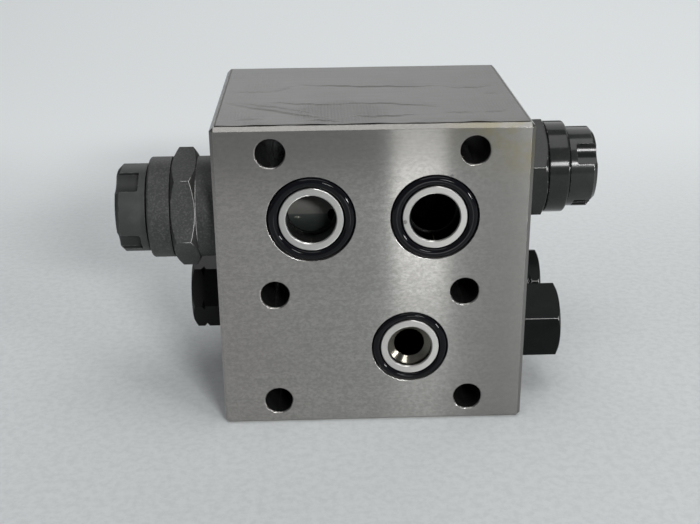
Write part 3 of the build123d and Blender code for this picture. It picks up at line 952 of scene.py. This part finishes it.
@dataclass
class CheckValve:
    """One make-up check valve with its spring, behind its hexagon plug.

    Attributes:
        side: the side it is screwed into.
        plug: finish of its plug.
    """

    side: Side
    plug: BlackOxide

    def build(self) -> None:
        """Winds its spring."""
        self.spring = Spring(self.side, "check", wire=1.2, turns=4.0)
        self.spring.build()

    def dress(self, inner: bpy.types.Material, spring: bpy.types.Material, seal: bpy.types.Material) -> None:
        """Gives each of its nodes a finish.

        Args:
            inner: finish of the poppet.
            spring: finish of the spring.
            seal: finish of the plug's seal.
        """
        for piece, material in (("plug", self.plug.material()), ("poppet", inner), ("plug_seal", seal)):
            dress(f"{self.side.word}_check_{piece}", material)
        self.spring.dress(spring)


@dataclass(frozen=True)
class Lamp:
    """A soft rectangular lamp.

    Attributes:
        name: its name.
        place: where it stands.
        aim: the point that it faces.
        size: its width and height.
        power: its power in watts.
        glossy_only: whether it shows only in reflections and lights no matt surface.
    """

    name: str
    place: tuple[float, float, float]
    aim: tuple[float, float, float]
    size: tuple[float, float]
    power: float
    glossy_only: bool = False

    def hang(self) -> None:
        """Adds the lamp to the scene, unseen by the camera."""
        data = bpy.data.lights.new(self.name, "AREA")
        data.shape = "RECTANGLE"
        data.size, data.size_y = (part * MM for part in self.size)
        data.energy = self.power
        lamp = bpy.data.objects.new(self.name, data)
        lamp.location = Vector(self.place) * MM
        lamp.rotation_euler = (Vector(self.aim) - Vector(self.place)).to_track_quat("-Z", "Y").to_euler()
        lamp.visible_camera = False
        lamp.visible_diffuse = not self.glossy_only
        bpy.context.scene.collection.objects.link(lamp)


@dataclass
class Studio:
    """Plain pale floor, soft lamps and the camera.

    Attributes:
        floor_tone: colour of the floor.
        floor_size: its width.
        air_tone: colour of the light from all round.
        air_strength: how strong that light is.
        lamps: its lamps.
        eye: the camera's place.
        tilt: the camera's turn about X, Y and Z, in degrees.
        lens: its focal length on a 36 mm sensor.
    """

    floor_tone: Colour = (0.675, 0.70, 0.705)
    floor_size: float = 18000.0
    air_tone: Colour = (0.80, 0.82, 0.85)
    air_strength: float = 0.25
    lamps: Sequence[Lamp] = (
        Lamp("ceiling", (100, -300, 1650), (0, 0, 60), (1500, 1000), 8.9),
        Lamp("key", (660, -1800, 860), (0, 0, 80), (480, 300), 5.0),
        Lamp("glint", (660, -1800, 860), (0, 0, 80), (460, 130), 19.0),
        Lamp("side", (2100, -1800, 360), (0, 0, 80), (320, 320), 24.0),
        Lamp("strip", (37, -250, 24), (37, -50, 24), (30, 80), 0.024, glossy_only=True),
        Lamp("back", (300, 1300, 1000), (0, 0, 60), (2800, 1300), 12.0),
    )
    eye: tuple[float, float, float] = (-19.9, -434.6, 229.2)
    tilt: tuple[float, float, float] = (67.52, 0.505, -1.843)
    lens: float = 55.95

    def build(self) -> None:
        """Makes the floor, the world, the lamps and the camera."""
        self._floor()
        self._world()
        for lamp in self.lamps:
            lamp.hang()
        self._camera()

    def _toned(self, share: float) -> Colour:
        """The floor's colour times a share."""
        return tuple(part * share for part in self.floor_tone)

    def _floor(self) -> None:
        """A floor that rises into a backdrop far behind.

        Across its depth, v from -0.5 to 0.5, the height stays 0 up to v = 0.2, and is 9 (v - 0.2)^2 times
        the floor's size beyond. Its colour holds painted light and shade: paler behind the block, darker at
        the front right, and darker still far out in front and to the sides.
        """
        u, v = np.meshgrid(np.linspace(-0.5, 0.5, 3), np.linspace(-0.5, 0.5, 60))
        height = np.clip(v - 0.2, 0, None) ** 2 * 9 * self.floor_size
        points = np.stack([u * self.floor_size, v * self.floor_size, height], axis=-1)
        floor = grid_mesh("floor", points)
        g = Graph("floor")
        mottle = g.smooth(g.noise(g.point, 3.2, 3, 0.65), 0.35, 0.7)
        cloud = g.noise(g.point, 120, 3, 0.6)
        shade = mottle * 0.45 + cloud * 0.25
        worked = g.mix(shade, self.floor_tone, self._toned(0.8))
        # painted light: the floor is paler behind the block
        far = g.mix(g.smooth(g.y, 40, 420), worked, self._toned(1.26))
        # painted shade: the floor is darker at the front right
        near = g.mix(g.smooth(g.x - g.y, 250, 600) * 0.8, far, self._toned(0.78))
        # painted shade: darker still far out in front and to the sides
        away = g.distance(g.x, g.math("MINIMUM", g.y, 0.0))
        colour = g.mix(g.smooth(away, 450, 1250), near, self._toned(0.25))
        floor.data.materials.append(g.finish(colour, 0.8, Specular_IOR_Level=0.05))

    def _world(self) -> None:
        """Even pale light from all round."""
        world = bpy.data.worlds.new("studio")
        world.use_nodes = True
        background = world.node_tree.nodes["Background"]
        background.inputs["Color"].default_value = (*self.air_tone, 1.0)
        background.inputs["Strength"].default_value = self.air_strength
        bpy.context.scene.world = world

    def _camera(self) -> None:
        """Sets the camera up."""
        data = bpy.data.cameras.new("camera")
        data.lens = self.lens
        data.sensor_width = 36.0
        data.clip_start, data.clip_end = 0.01, 20.0
        camera = bpy.data.objects.new("camera", data)
        camera.location = Vector(self.eye) * MM
        camera.rotation_euler = Euler([math.radians(part) for part in self.tilt], "XYZ")
        bpy.context.scene.collection.objects.link(camera)
        bpy.context.scene.camera = camera
        bpy.context.scene.view_settings.view_transform = "Standard"


def main() -> None:
    """Builds the studio and the dressed block."""
    logging.basicConfig(level=logging.INFO, format="%(name)s: %(message)s")
    Studio().build()
    block = Block()
    block.build()
    block.dress()

    inner = Steel("hardened_steel", (0.45, 0.45, 0.46), roughness=0.25).material()
    spring = Steel("spring_steel", (0.22, 0.22, 0.24), roughness=0.35).material()
    seal = OilyRubber("seal_rubber", roughness=0.35).material()
    backup = MouldedPlastic("backup_plastic", (0.42, 0.41, 0.38), roughness=0.5, rubbed=0.0).material()

    # on the left body, the front edges are paler near the given point
    left_body = BlackOxide("left_oxide", (0.025, 0.0265, 0.0255), roughness=0.5, wear=0.5, dust=0.05,
                           grain=0.4, pale_spot=(-70.0, -42.0, 88.6), reach=(5.5, 14.0))
    # on the right body, a painted highlight on the hexagon's front corner
    right_body = BlackOxide("right_oxide", (0.013, 0.0145, 0.0135), roughness=0.11, wear=0.6, dust=0.05,
                            specular=0.33, rounding=0.8, grain=0.06, pale_spot=(72.4, -0.8, 90.5),
                            reach=(6.0, 1.3))
    left_cap = MouldedPlastic("left_cap_plastic", (0.03, 0.032, 0.031), roughness=0.5, rubbed=0.35,
                              axis=(-22.0, 84.0))
    right_cap = MouldedPlastic("right_cap_plastic", (0.016, 0.0175, 0.0165), roughness=0.14, rubbed=0.3,
                               axis=(22.0, 84.0))
    for side, body, cap in ((Side.LEFT, left_body, left_cap), (Side.RIGHT, right_body, right_cap)):
        relief = ReliefCartridge(side, body, cap)
        relief.build()
        relief.dress(inner, spring, seal, backup)

    # the left plug's tone, darker than the right plug's, is painted shade
    left_plug = BlackOxide("left_plug_oxide", (0.002, 0.002, 0.002), roughness=0.42, wear=0.1, dust=0.02,
                           specular=0.15, grain=0.02)
    # on the right plug, a painted highlight along its front corner
    right_plug = BlackOxide("right_plug_oxide", (0.006, 0.007, 0.007), roughness=0.14, wear=0.2, dust=0.02,
                            specular=0.05, rounding=0.7, grain=0.02, pale_spot=(70.0, 5.3, 36.1),
                            reach=(12.0, 1.3))
    # the gallery plug's painted highlight lies along its own corner
    gallery_plug = replace(right_plug, name="gallery_plug_oxide", pale_spot=(70.0, -32.6, 35.8))
    for side, plug in ((Side.LEFT, left_plug), (Side.RIGHT, right_plug)):
        check = CheckValve(side, plug)
        check.build()
        check.dress(inner, spring, seal)
    dress("gallery_plug", gallery_plug.material())
    dress("gallery_plug_seal", seal)

    log.info("wrote the two boxes")


if __name__ == "__main__":
    main()
